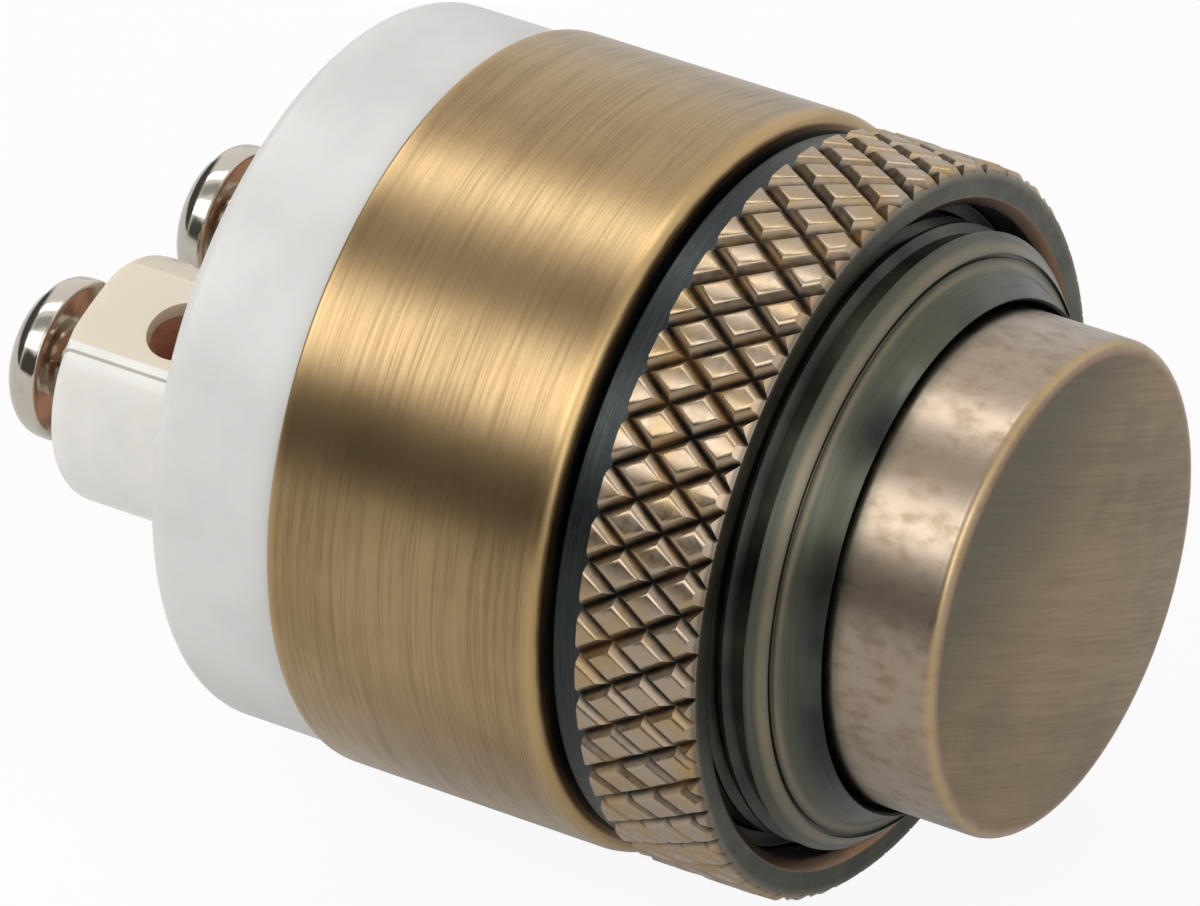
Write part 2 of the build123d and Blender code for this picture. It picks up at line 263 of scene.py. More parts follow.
def in_mm(group):
    """The group's lengths in millimetres, and its counts and shares as they are."""
    values = {}
    for name, made in group.__annotations__.items():
        scale = 1 / MM if made.keywords.get("unit") == "LENGTH" else 1
        values[name] = getattr(group, name) * scale
    return SimpleNamespace(**values)


# Mesh tools


def lathe(outline, steps=TURN_STEPS, closed=True):
    """A shape turned about the push's axis from corners of radius, place and rounding."""
    bm = bmesh.new()
    corners = [bm.verts.new((radius, place, 0)) for radius, place, _ in outline]
    for start, end in zip(corners, corners[1:]):
        bm.edges.new((start, end))
    if closed:
        bm.edges.new((corners[-1], corners[0]))
    for corner, (_, _, rounding) in zip(corners, outline):
        if rounding:
            round_off(bm, [corner], rounding, "VERTICES", 4)
    bmesh.ops.spin(
        bm, geom=bm.verts[:] + bm.edges[:], cent=(0, 0, 0), axis=AXIS,
        angle=2 * pi, steps=steps, use_merge=True,
    )
    tidy(bm)
    return bm


def tidy(bm):
    """Closes seams and poles and turns every face outward."""
    bmesh.ops.remove_doubles(bm, verts=bm.verts[:], dist=MERGE)
    bmesh.ops.dissolve_degenerate(bm, edges=bm.edges[:], dist=MERGE / 2)
    bmesh.ops.recalc_face_normals(bm, faces=bm.faces[:])


def round_off(bm, geom, width, affect="EDGES", segments=2):
    """Rounds corners or edges off by a width."""
    bmesh.ops.bevel(
        bm, geom=geom, offset=width, offset_type="OFFSET", segments=segments,
        profile=0.5, affect=affect, material=-1, clamp_overlap=True,
    )


def move(bm, x=0.0, y=0.0, z=0.0):
    """Moves a whole shape."""
    bmesh.ops.translate(bm, verts=bm.verts[:], vec=(x, y, z))


def lean(bm, turn):
    """Turns a whole shape about the push's axis."""
    bmesh.ops.rotate(bm, verts=bm.verts[:], cent=(0, 0, 0), matrix=Matrix.Rotation(turn, 3, "Y"))


def brick(x, y, z):
    """A block of three sizes, with its middle on the axis."""
    bm = bmesh.new()
    bmesh.ops.create_cube(bm, size=1)
    bmesh.ops.scale(bm, verts=bm.verts[:], vec=(x, y, z))
    return bm


def arc(start, end, bulge, count):
    """Corners on an arc between two corners of an outline, bulging to the left of the way."""
    (r0, y0), (r1, y1) = start, end
    across, along = r1 - r0, y1 - y0
    points = []
    for step in range(1, count):
        share = step / count
        rise = 4 * share * (1 - share) * bulge / sqrt(across**2 + along**2)
        points.append((r0 + share * across - rise * along, y0 + share * along + rise * across, 0))
    return points


def quarter(centre, across, along, steps):
    """Corners on a quarter of an oval round a centre, from its side to its end."""
    turns = [pi / 2 * step / steps for step in range(steps + 1)]
    return [(centre[0] + across * cos(turn), centre[1] + along * sin(turn), 0) for turn in turns]


def rod(radius, start, end, x=0.0, steps=SMALL_STEPS):
    """A plain round rod along the push's axis, beside it by x."""
    bm = lathe([(0, start, 0), (radius, start, 0), (radius, end, 0), (0, end, 0)], steps, False)
    move(bm, x)
    return bm


def combine(bm, tool, operation):
    """Two closed shapes joined, or the first with the second cut out of it."""
    blanks = []
    for shape in (bm, tool):
        mesh = bpy.data.meshes.new("blank")
        shape.to_mesh(mesh)
        shape.free()
        blank = bpy.data.objects.new("blank", mesh)
        bpy.context.scene.collection.objects.link(blank)
        blanks.append(blank)
    step = blanks[0].modifiers.new("step", "BOOLEAN")
    step.operation = operation
    step.object = blanks[1]
    step.solver = "EXACT"
    made = bmesh.new()
    made.from_object(blanks[0], bpy.context.evaluated_depsgraph_get())
    for blank in blanks:
        mesh = blank.data
        bpy.data.objects.remove(blank)
        bpy.data.meshes.remove(mesh)
    return made


def join(bm, other):
    """Adds the other shape's faces to the first."""
    mesh = bpy.data.meshes.new("blank")
    other.to_mesh(mesh)
    other.free()
    bm.from_mesh(mesh)
    bpy.data.meshes.remove(mesh)
    return bm


def thread(crest, depth, pitch, start, end, steps):
    """A thread's ridge wound round the axis between two places, closed at both ends."""
    bm = bmesh.new()
    foot = crest - depth * 1.25  # below the thread's root, inside the core
    profile = [(foot, 0.02), (crest, 0.42), (crest, 0.58), (foot, 0.98)]  # places in pitches
    corners = [bm.verts.new((radius, start + share * pitch, 0)) for radius, share in profile]
    first = bm.faces.new(corners)
    turns = (end - start - pitch) / pitch
    count = max(1, round(turns * steps))
    made = bmesh.ops.spin(
        bm, geom=[first], cent=(0, 0, 0), axis=AXIS, angle=2 * pi * turns,
        dvec=(0, turns * pitch / count, 0), steps=count, use_merge=False,
    )
    last = [item for item in made["geom_last"] if isinstance(item, bmesh.types.BMFace)]
    if not last:
        raise RuntimeError("the thread has no end face")
    tidy(bm)
    return bm


def finish_piece(bm, name, body, material, replaced=(), sharp=32.0):
    """Brings a shape to metres, gives it its finish and hands it to the frame.

    Edges that turn by more than sharp, in degrees, stay crisp.
    """
    bmesh.ops.scale(bm, vec=(MM, MM, MM), verts=bm.verts[:])
    mesh = bpy.data.meshes.new(name)
    bm.to_mesh(mesh)
    bm.free()
    mesh.shade_smooth()
    mesh.set_sharp_from_angle(angle=radians(sharp))
    mesh.materials.append(material)
    piece = bpy.data.objects.new(name, mesh)
    bpy.context.scene.collection.objects.link(piece)
    piece.modifiers.new("flat faces", "WEIGHTED_NORMAL").keep_sharp = True
    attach(piece, body)
    if replaced:
        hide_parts(*replaced)
    return piece


# Node tools


def add(tree, kind, inputs=None, **settings):
    """A node with its settings, and its inputs linked from sockets or set to values."""
    node = tree.nodes.new(kind)
    for name, value in settings.items():
        setattr(node, name, value)
    for name, value in (inputs or {}).items():
        if isinstance(value, bpy.types.NodeSocket):
            tree.links.new(value, node.inputs[name])
        else:
            node.inputs[name].default_value = value
    return node


def calculate(tree, operation, first, *others):
    """Values joined one after another by an operation."""
    for other in others:
        first = add(tree, "ShaderNodeMath", {0: first, 1: other}, operation=operation).outputs[0]
    return first


def times(tree, *values):
    """Values multiplied together."""
    return calculate(tree, "MULTIPLY", *values)


def weighted(tree, first, share, second, other_share):
    """The sum of two values, each times its own share."""
    return calculate(tree, "ADD", times(tree, first, share), times(tree, second, other_share))


def ramp(tree, value, low, high, start=0.0, end=1.0):
    """A soft step from start to end as the value goes from low to high."""
    return add(
        tree, "ShaderNodeMapRange",
        {"Value": value, "From Min": low, "From Max": high, "To Min": start, "To Max": end},
        interpolation_type="SMOOTHSTEP",
    ).outputs["Result"]


def window(tree, value, low, high, soft):
    """One where the value lies between low and high, and nought elsewhere."""
    return times(tree, ramp(tree, value, low - soft, low + soft),
                 ramp(tree, value, high - soft, high + soft, 1.0, 0.0))


def blend(tree, share, first, second):
    """Two colours mixed by a share, each a socket or its red, green and blue."""
    first, second = (
        tone if isinstance(tone, bpy.types.NodeSocket) else (*tone, 1.0)
        for tone in (first, second)
    )
    made = add(tree, "ShaderNodeMix", {0: share, 6: first, 7: second}, data_type="RGBA")
    return made.outputs[2]


def millimetres(tree):
    """The point in millimetres, its three parts and its distance from the axis."""
    place = add(tree, "ShaderNodeTexCoord").outputs["Object"]
    point = add(
        tree, "ShaderNodeVectorMath", {"Vector": place, "Scale": 1 / MM}, operation="SCALE"
    ).outputs[0]
    parts = add(tree, "ShaderNodeSeparateXYZ", {"Vector": point}).outputs
    flat = add(tree, "ShaderNodeCombineXYZ", {"X": parts["X"], "Z": parts["Z"]}).outputs[0]
    radius = add(tree, "ShaderNodeVectorMath", {0: flat}, operation="LENGTH").outputs["Value"]
    return SimpleNamespace(point=point, x=parts["X"], y=parts["Y"], z=parts["Z"], r=radius)


def noise(tree, point, scale, detail=3.0, rough=0.55):
    """Noise at a scale for each direction, in features to the millimetre."""
    placed = add(tree, "ShaderNodeMapping", {"Vector": point, "Scale": scale}).outputs[0]
    return add(
        tree, "ShaderNodeTexNoise",
        {"Vector": placed, "Scale": 1.0, "Detail": detail, "Roughness": rough},
    ).outputs["Fac"]


def bump(tree, height, distance, strength=1.0):
    """A bump of a height in millimetres."""
    return add(
        tree, "ShaderNodeBump",
        {"Height": height, "Distance": distance * MM, "Strength": strength},
    ).outputs["Normal"]


def new_material(name):
    """An empty material, its tree, its shader and its coordinates."""
    material = bpy.data.materials.new(name)
    material.use_nodes = True
    tree = material.node_tree
    tree.nodes.clear()
    shader = add(tree, "ShaderNodeBsdfPrincipled")
    add(tree, "ShaderNodeOutputMaterial", {"Surface": shader.outputs[0]})
    return material, tree, shader, millimetres(tree)


def wire_up(tree, shader, **inputs):
    """Links sockets to the shader or sets its values. Underscores stand for spaces."""
    for name, value in inputs.items():
        socket = shader.inputs[name.replace("_", " ")]
        if isinstance(value, bpy.types.NodeSocket):
            tree.links.new(value, socket)
        else:
            socket.default_value = value


# Finishes

BRUSH_ROUND = (0.35, 22.0, 0.35)
BRUSH_COARSE = (0.12, 5.5, 0.12)
FACE_BRUSHING = -27.0  # degrees from level to the strokes on the button's face


def brushed_tangent(tree):
    """The direction round the axis, which the brushing follows."""
    return add(tree, "ShaderNodeTangent", direction_type="RADIAL", axis="Y").outputs[0]


def barrel_tone(tree, at, colours, sizes, streaks, coarse, cloud):
    """Brushed brass, brown in the strokes, gold at the ends, partly rubbed by use and partly a
    painted highlight, and copper on the front lip.
    """
    brown = times(tree, ramp(tree, streaks, 0.44, 0.62), 0.42)
    brown = calculate(tree, "ADD", brown, ramp(tree, cloud, 0.42, 0.68, 0.0, 0.3))
    barrel = blend(tree, brown, colours.brass, colours.umber)
    ragged = calculate(tree, "ADD", at.y, times(tree, coarse, 0.25))
    # Gold at both ends: partly rubbed by use, partly a painted highlight along their edges.
    front_wear_and_painted_highlight = ramp(tree, ragged, 0.3, 0.9, 1.0, 0.0)
    rear_wear_and_painted_highlight = ramp(tree, ragged, sizes.rear - 0.28, sizes.rear + 0.05)
    ends_wear_and_painted_highlight = calculate(tree, "MAXIMUM", front_wear_and_painted_highlight, rear_wear_and_painted_highlight)
    worn = blend(tree, times(tree, ends_wear_and_painted_highlight, 0.8), barrel, colours.gold)
    lip = window(tree, at.r, sizes.radius - 0.6, sizes.radius - 0.4, 0.08)
    return blend(tree, times(tree, lip, front_wear_and_painted_highlight), worn, colours.copper)


def bezel_tone(tree, at, colours, sizes, streaks, cloud):
    """Dark recesses, a grey-green bezel and brighter edges on its cone and bead, partly rubbed by
    use and partly a painted highlight.
    """
    recess = blend(tree, ramp(tree, cloud, 0.35, 0.7), colours.slate, colours.patina)
    bezel_start = -sizes.neck_front + 0.05
    bezel = ramp(tree, at.y, bezel_start - 0.15, bezel_start, 1.0, 0.0)
    hole_side = ramp(tree, at.r, sizes.hole + 0.1, sizes.hole + 0.7)
    bezel = times(tree, bezel, hole_side)
    green = blend(
        tree, ramp(tree, streaks, 0.4, 0.65, 0.0, 0.4), colours.patina, colours.slate
    )
    dark = blend(tree, bezel, recess, green)
    step = sizes.neck - sizes.chamfer
    cone = window(tree, at.r, step + 0.04, step + 0.3, 0.1)
    bead_edge = step - sizes.groove_width
    bead = window(tree, at.r, bead_edge - sizes.bead_width * 0.8, bead_edge - 0.1, 0.1)
    # Painted highlight, partly rubbed brass too, along the cone and the bead.
    edge_wear_and_painted_highlight = times(tree, calculate(tree, "MAXIMUM", bead, cone), bezel,
                   ramp(tree, cloud, 0.3, 0.7, 0.9, 0.55))
    return blend(tree, edge_wear_and_painted_highlight, dark, colours.worn)


def housing_finish(colours, sizes):
    """Antique brass brushed round the barrel, worn gold at its edges, dark in the bezel."""
    material, tree, shader, at = new_material("Antique brass")
    fine = noise(tree, at.point, BRUSH_ROUND, 4.0, 0.7)
    coarse = noise(tree, at.point, BRUSH_COARSE, 3.0, 0.6)
    cloud = noise(tree, at.point, (0.22, 0.16, 0.22), 3.0, 0.55)
    streaks = weighted(tree, fine, 0.6, coarse, 0.4)
    # One on the plate seat, the neck and the bezel, which lie inside the barrel's front lip
    seat = times(
        tree, ramp(tree, at.y, 0.05, 0.4, 1.0, 0.0),
        ramp(tree, at.r, sizes.radius - 0.66, sizes.radius - 0.54, 1.0, 0.0),
    )
    tone = blend(
        tree, seat, barrel_tone(tree, at, colours, sizes, streaks, coarse, cloud),
        bezel_tone(tree, at, colours, sizes, streaks, cloud),
    )
    rough = ramp(tree, streaks, 0.3, 0.7, 0.27, 0.4)
    rough = calculate(tree, "ADD", rough, times(tree, seat, 0.08))
    wire_up(
        tree, shader, Base_Color=tone, Metallic=1.0, Roughness=rough, Anisotropic=0.75,
        Anisotropic_Rotation=0.25, Tangent=brushed_tangent(tree),
        Coat_Weight=0.3, Coat_Roughness=0.2, Normal=bump(tree, streaks, 0.012, 0.6),
    )
    return material


def knurl_tone(tree, colours, relief, cloud):
    """Relieved diamonds over dark grooves."""
    tip = blend(tree, ramp(tree, cloud, 0.35, 0.75), colours.rose, colours.brass)
    low = blend(
        tree, ramp(tree, cloud, 0.4, 0.7, 0.1, 0.8), colours.slate, colours.umber
    )
    return blend(tree, relief, low, tip)


def ring_front_tone(tree, at, colours, sizes, cloud):
    """Grey-green, lighter towards the ring's edge."""
    green = blend(
        tree, ramp(tree, cloud, 0.3, 0.75, 0.0, 0.6), colours.patina, colours.slate
    )
    face_rim = ramp(tree, at.r, sizes.tip - 0.55, sizes.tip - 0.3)
    return blend(tree, times(tree, face_rim, 0.4), green, colours.rose)


def ring_finish(colours, sizes):
    """Dark antique brass: slate band, relieved diamonds, grey-green front, copper edge."""
    material, tree, shader, at = new_material("Dark antique brass")
    cloud = noise(tree, at.point, (0.7, 0.7, 0.7), 4.0, 0.6)
    spots = noise(tree, at.point, (3.2, 3.2, 3.2), 3.0, 0.6)
    lines = noise(tree, at.point, BRUSH_ROUND, 3.0, 0.6)
    uneven = times(tree, calculate(tree, "SUBTRACT", spots, 0.5), 0.1)
    groove = sizes.tip - sizes.knurl_depth
    relief = ramp(tree, calculate(tree, "ADD", at.r, uneven), groove + 0.04, sizes.tip - 0.12)
    tone = knurl_tone(tree, colours, relief, cloud)
    face = ramp(tree, at.y, -sizes.front + 0.03, -sizes.front + 0.1, 1.0, 0.0)
    tone = blend(tree, face, tone, ring_front_tone(tree, at, colours, sizes, cloud))
    mouth = window(tree, at.r, sizes.recess + 0.04, sizes.recess + sizes.mouth + 0.02, 0.05)
    near_front = ramp(tree, at.y, -sizes.front + 0.5, -sizes.front + 0.4)
    mouth = times(tree, mouth, near_front, 0.7)
    tone = blend(tree, mouth, tone, colours.copper)
    band_front = -(sizes.rear + sizes.band_length)
    band = ramp(tree, at.y, band_front - 0.03, band_front + 0.03)
    slate = blend(
        tree, ramp(tree, lines, 0.4, 0.75, 0.0, 0.4), colours.slate, colours.patina
    )
    tone = blend(tree, band, tone, slate)
    inside = ramp(tree, at.r, sizes.recess - 0.05, sizes.recess + 0.02, 1.0, 0.0)
    tone = blend(tree, inside, tone, [c * 0.35 for c in colours.slate])
    rough = calculate(tree, "SUBTRACT", ramp(tree, spots, 0.3, 0.7, 0.34, 0.44),
                      times(tree, relief, 0.08))
    wire_up(
        tree, shader, Base_Color=tone, Metallic=1.0, Roughness=rough,
        Coat_Weight=0.25, Coat_Roughness=0.3, Normal=bump(tree, lines, 0.006, 0.5),
    )
    return material


def face_tone(tree, at, colours, straight, turned):
    """Straight brushing across the face, with painted shade that makes it darker and greener
    towards its upper left.
    """
    broad = noise(tree, turned, (0.09, 1.0, 1.6), 2.0, 0.5)
    cloud = noise(tree, at.point, (0.2, 0.2, 0.2), 3.0, 0.55)
    strokes = ramp(tree, weighted(tree, straight, 0.55, broad, 0.45), 0.38, 0.66, 0.0, 0.45)
    brushed = blend(tree, strokes, colours.face, colours.umber)
    # Painted shade: darker and greener towards the face's upper left.
    upper = ramp(tree, weighted(tree, at.z, 0.8, at.x, -0.5), -0.5, 6.5, 0.0, 0.75)
    cloud_and_painted_shade = calculate(tree, "MAXIMUM", upper, ramp(tree, cloud, 0.45, 0.7, 0.0, 0.4))
    return blend(tree, cloud_and_painted_shade, brushed, colours.patina)


def side_tone(tree, at, colours, spots, hole_front):
    """Mottled brass, with painted shade that makes the side darker and greener where it goes into
    its hole.
    """
    mottle = ramp(tree, spots, 0.42, 0.72, 0.0, 0.45)
    side = blend(tree, mottle, [c * 0.93 for c in colours.rose], colours.umber)
    # Painted shade where the side goes into its hole.
    painted_hole_shade = ramp(tree, at.y, -hole_front - 0.7, -hole_front)
    return blend(tree, times(tree, painted_hole_shade, 0.75), side, colours.patina)


def button_finish(colours, sizes, hole_front):
    """Brass with a mottled side, a gold rim and straight brushing across the face."""
    material, tree, shader, at = new_material("Button brass")
    turned = add(
        tree, "ShaderNodeMapping", {"Vector": at.point, "Rotation": (0, radians(FACE_BRUSHING), 0)}
    ).outputs[0]
    straight = noise(tree, turned, (0.3, 1.0, 9.0), 4.0, 0.65)
    spots = noise(tree, at.point, (1.8, 1.0, 1.8), 4.0, 0.6)
    rounding = noise(tree, at.point, (0.35, 7.0, 0.35), 2.0, 0.5)
    face_start = -(sizes.crown - sizes.crown_height)
    face_edge = sizes.side - sizes.rim_round
    front = ramp(tree, at.y, face_start - 0.02, face_start + 0.3, 1.0, 0.0)
    face = times(
        tree, ramp(tree, at.r, face_edge - 0.12, face_edge + 0.05, 1.0, 0.0), front
    )
    tone = blend(
        tree, face, side_tone(tree, at, colours, spots, hole_front),
        face_tone(tree, at, colours, straight, turned),
    )
    rim = times(
        tree, window(tree, at.y, face_start - 0.02, face_start + 0.2, 0.14),
        ramp(tree, at.r, face_edge + 0.04, face_edge + 0.22), 0.75,
    )
    tone = blend(tree, rim, tone, colours.gold)
    inner = window(tree, at.r, face_edge - 0.1, face_edge + 0.06, 0.12)
    inner = times(tree, inner, front, 0.7)
    tone = blend(tree, inner, tone, colours.copper)
    relief = add(tree, "ShaderNodeMix", {0: face, 2: rounding, 3: straight}).outputs[0]
    side_rough = ramp(tree, spots, 0.3, 0.7, 0.27, 0.36)
    face_rough = ramp(tree, straight, 0.3, 0.7, 0.36, 0.46)
    rough = add(tree, "ShaderNodeMix", {0: face, 2: side_rough, 3: face_rough}).outputs[0]
    wire_up(
        tree, shader, Base_Color=tone, Metallic=1.0, Roughness=rough,
        Coat_Weight=0.25, Coat_Roughness=0.28, Normal=bump(tree, relief, 0.006, 0.5),
    )
    return material


def posts_tone(tree, at, tone, colours, s):
    """Beige where brass shows through the flat's thin wall, and a painted shade stripe beside it
    along the flat's edge.
    """
    distance = add(tree, "ShaderNodeMath", {0: at.x}, operation="ABSOLUTE").outputs[0]
    outward = calculate(tree, "SUBTRACT", distance, s.post_offset)
    across = weighted(tree, outward, cos(s.wire_lean), at.z, -sin(s.wire_lean))
    edge = sqrt(s.post**2 - s.flat**2)
    upper = ramp(tree, at.z, -1.5, 0.5)
    thin = times(tree, ramp(tree, across, edge - 0.3, edge - 0.36), upper)
    tone = blend(tree, thin, tone, colours.beige)
    # A painted shade stripe along the edge of the flat.
    painted_shade_line = times(tree, window(tree, across, edge, edge + 0.1, 0.02), upper, 0.7)
    return blend(tree, painted_shade_line, tone, colours.worn)


def nylon_finish(name, rgb, roughness, depth, toned=None):
    """Moulded nylon that light enters a little way."""
    material, tree, shader, at = new_material(name)
    cloud = noise(tree, at.point, (0.25, 0.25, 0.25), 3.0, 0.55)
    grain = noise(tree, at.point, (9.0, 9.0, 9.0), 2.0, 0.5)
    shade = [c * 0.93 for c in rgb]
    tone = blend(tree, ramp(tree, cloud, 0.35, 0.65), rgb, shade)
    if toned:
        tone = toned(tree, at, tone)
    rough = ramp(tree, cloud, 0.3, 0.7, roughness - 0.04, roughness + 0.06)
    wire_up(
        tree, shader, Base_Color=tone, Roughness=rough, Subsurface_Weight=0.6,
        Subsurface_Scale=depth * MM, Subsurface_Radius=(1.0, 0.95, 0.85), IOR=1.53,
        Normal=bump(tree, grain, 0.006, 0.5),
    )
    return material


def plated_finish(name, rgb, roughness, metallic=1.0):
    """Bright metal with faint smudges and fine scratches."""
    material, tree, shader, at = new_material(name)
    smudge = noise(tree, at.point, (0.9, 0.9, 0.9), 3.0, 0.6)
    scratch = noise(tree, at.point, (1.2, 16.0, 2.6), 3.0, 0.6)
    shade = [c * 0.72 for c in rgb]
    tone = blend(tree, ramp(tree, smudge, 0.5, 0.75), rgb, shade)
    wire_up(
        tree, shader, Base_Color=tone, Metallic=metallic,
        Roughness=ramp(tree, smudge, 0.3, 0.7, roughness, roughness + 0.1),
        Normal=bump(tree, scratch, 0.004, 0.5),
    )
    return material


def finish_named(name):
    """A finish that was made before."""
    found = bpy.data.materials.get(name)
    if found is None:
        raise RuntimeError(f"make the finishes first: there is no {name}")
    return found


class PUSH_OT_finishes(bpy.types.Operator):
    """Make the brass, nylon and nickel finishes"""

    bl_idname = "push.finishes"
    bl_label = "Finishes"

    def execute(self, context):
        scene = context.scene
        colours = scene.push_colours
        housing_finish(colours, in_mm(scene.push_housing))
        ring_finish(colours, in_mm(scene.push_ring))
        button_finish(colours, in_mm(scene.push_button), in_mm(scene.push_housing).front)
        nylon_finish("White nylon", colours.nylon, 0.4, 1.2)
        posts = in_mm(scene.push_base)
        nylon_finish(
            "Ivory nylon", colours.ivory, 0.2, 0.4,
            lambda tree, at, tone: posts_tone(tree, at, tone, colours, posts),
        )
        plated_finish("Nickel plate", colours.nickel, 0.07)
        plated_finish("Contact brass", colours.tarnish, 0.4, 0.6)
        plated_finish("Spring steel", colours.steel, 0.2)
        return {"FINISHED"}


class PUSH_OT_housing(bpy.types.Operator):
    """Turn the barrel with its neck and stepped bezel, and cut the neck's thread"""

    bl_idname = "push.housing"
    bl_label = "Barrel and bezel"

    def execute(self, context):
        s = in_mm(context.scene.push_housing)
        block_front = in_mm(context.scene.push_base).plate_front
        root = s.neck - s.thread_depth
        thread_front = s.neck_front - s.thread_end
        step_r = s.neck - s.chamfer
        step = s.neck_front + s.chamfer
        bead_outer = (step_r - s.groove_width, -step)
        bead_inner = (bead_outer[0] - s.bead_width, -(step + s.bead_rise))
        hole_edge = (s.hole + s.hole_chamfer, -s.front)
        outline = [
            (s.bore, s.rear, PLAIN),
            (s.radius, s.rear, s.rear_break),
            (s.radius, 0, s.front_round),
            (root, 0, SOFT),
            (root, -thread_front, 0),
            (s.neck, -thread_front - s.thread_depth / 2, FINE),
            (s.neck, -s.neck_front, PLAIN),
            (step_r, -step, PLAIN),
            (step_r, -(step - s.groove_depth), 0),
            (bead_outer[0], -(step - s.groove_depth), 0),
            (*bead_outer, FINE),
            *arc(bead_outer, bead_inner, -s.bead_bulge, 5),
            (*bead_inner, 0),
            *arc(bead_inner, hole_edge, -s.bulge, 6),
            (*hole_edge, FINE),
            (s.hole, -s.front + s.hole_chamfer, FINE),
            (s.hole, -s.front + s.lip, 0),
            (s.neck_bore, -s.front + s.lip, 0),
            (s.neck_bore, s.web, 0),
            (s.shoulder, s.web, 0),
            (s.shoulder, block_front, 0),
            (s.bore, block_front, 0),
        ]
        finish = finish_named("Antique brass")
        finish_piece(
            lathe(outline), "turned_housing", "housing", finish, ["housing"],
            sharp=28,
        )
        ridge = thread(
            s.neck, s.thread_depth, s.thread_pitch, -thread_front, -s.thread_start, TURN_STEPS // 2
        )
        finish_piece(ridge, "neck_thread", "housing", finish)
        return {"FINISHED"}


def diamond(s, half_column):
    """One diamond of the knurl on the X axis, with a worn flat land."""
    groove = s.tip - s.knurl_depth
    half_width = groove * sin(half_column)
    corners = [
        (groove * cos(half_column), 0, -half_width),
        (groove, s.row_spacing, 0),
        (groove * cos(half_column), 0, half_width),
        (groove, -s.row_spacing, 0),
    ]
    bm = bmesh.new()
    land = bm.faces.new([bm.verts.new(corner) for corner in corners])
    land.normal_update()
    if land.normal.x < 0:
        land.normal_flip()
    reach = half_width * s.row_spacing / sqrt(half_width**2 + s.row_spacing**2)
    bmesh.ops.inset_region(
        bm, faces=[land], thickness=reach * (1 - s.land), depth=s.knurl_depth,
        use_even_offset=True, use_boundary=True,
    )
    set_radius(land.verts, s.tip)
    round_off(bm, list(land.edges), s.land_round, segments=3)
    return bm


def set_radius(verts, radius):
    """Moves corners straight out or in to a distance from the push's axis."""
    for vert in verts:
        place = Vector((vert.co.x, 0, vert.co.z)).normalized() * radius
        vert.co.x, vert.co.z = place.x, place.z


def knurl(s):
    """The sleeve of diamonds, with half diamonds at its ends. It reaches past the ring's front."""
    rear = s.rear + s.band_length
    rows = ceil((s.front - rear) / s.row_spacing)
    front = rear + rows * s.row_spacing
    half_column = pi / s.count
    cell = diamond(s, half_column)
    source = bpy.data.meshes.new("diamond")
    cell.to_mesh(source)
    cell.free()
    bm = bmesh.new()
    for row in range(rows + 1):
        for column in range(s.count):
            held = set(bm.verts)
            bm.from_mesh(source)
            fresh = [v for v in bm.verts if v not in held]
            angle = (2 * column + row % 2) * half_column
            bmesh.ops.rotate(
                bm, verts=fresh, cent=(0, 0, 0), matrix=Matrix.Rotation(angle, 3, AXIS)
            )
            bmesh.ops.translate(bm, verts=fresh, vec=(0, -(rear + s.row_spacing * row), 0))
    bpy.data.meshes.remove(source)
    # Neighbouring diamonds share their corners
    bmesh.ops.remove_doubles(bm, verts=bm.verts[:], dist=4 * MERGE)
    for place, way in ((-rear, 1), (-front, -1)):
        bmesh.ops.bisect_plane(
            bm, geom=bm.verts[:] + bm.edges[:] + bm.faces[:], dist=MERGE,
            plane_co=(0, place, 0), plane_no=(0, way, 0), clear_outer=True,
        )
    loops = []
    for place in (-rear, -front):
        rim = [e for e in bm.edges if e.is_boundary and abs(e.verts[0].co.y - place) < 10 * MERGE]
        made = bmesh.ops.extrude_edge_only(bm, edges=rim)["geom"]
        set_radius(
            [item for item in made if isinstance(item, bmesh.types.BMVert)],
            s.band - s.knurl_foot,
        )
        loops += [item for item in made if isinstance(item, bmesh.types.BMEdge)]
    bmesh.ops.bridge_loops(bm, edges=[e for e in loops if e.is_boundary])
    tidy(bm)
    return bm


class PUSH_OT_ring(bpy.types.Operator):
    """Turn the ring nut and roll its diamond knurl"""

    bl_idname = "push.ring"
    bl_label = "Knurled ring"

    def execute(self, context):
        s = in_mm(context.scene.push_ring)
        recess_floor = -(s.front - s.recess_depth)
        core = lathe([
            (s.bore, -s.rear, PLAIN),
            (s.band, -s.rear, s.edge_round),
            (s.band, -s.front, 0),
            (s.recess + s.mouth, -s.front, FINE),
            (s.recess, -(s.front - s.mouth), FINE),
            (s.recess, recess_floor, WIDE),
            (s.bore, recess_floor, PLAIN),
        ])
        # Everything behind a cone that cuts the front diamonds at 45 degrees
        behind_chamfer = lathe(
            [
                (0, OVERLAP, 0),
                (s.tip + s.chamfer, OVERLAP, 0),
                (s.tip + s.chamfer, -(s.front - 2 * s.chamfer), 0),
                (s.tip - s.chamfer, -s.front, 0),
                (0, -s.front, 0),
            ],
            closed=False,
        )
        sleeve = combine(knurl(s), behind_chamfer, "INTERSECT")
        finish_piece(
            combine(core, sleeve, "UNION"), "ring_nut", "knurled_ring",
            finish_named("Dark antique brass"), ["knurled_ring"], sharp=24,
        )
        return {"FINISHED"}


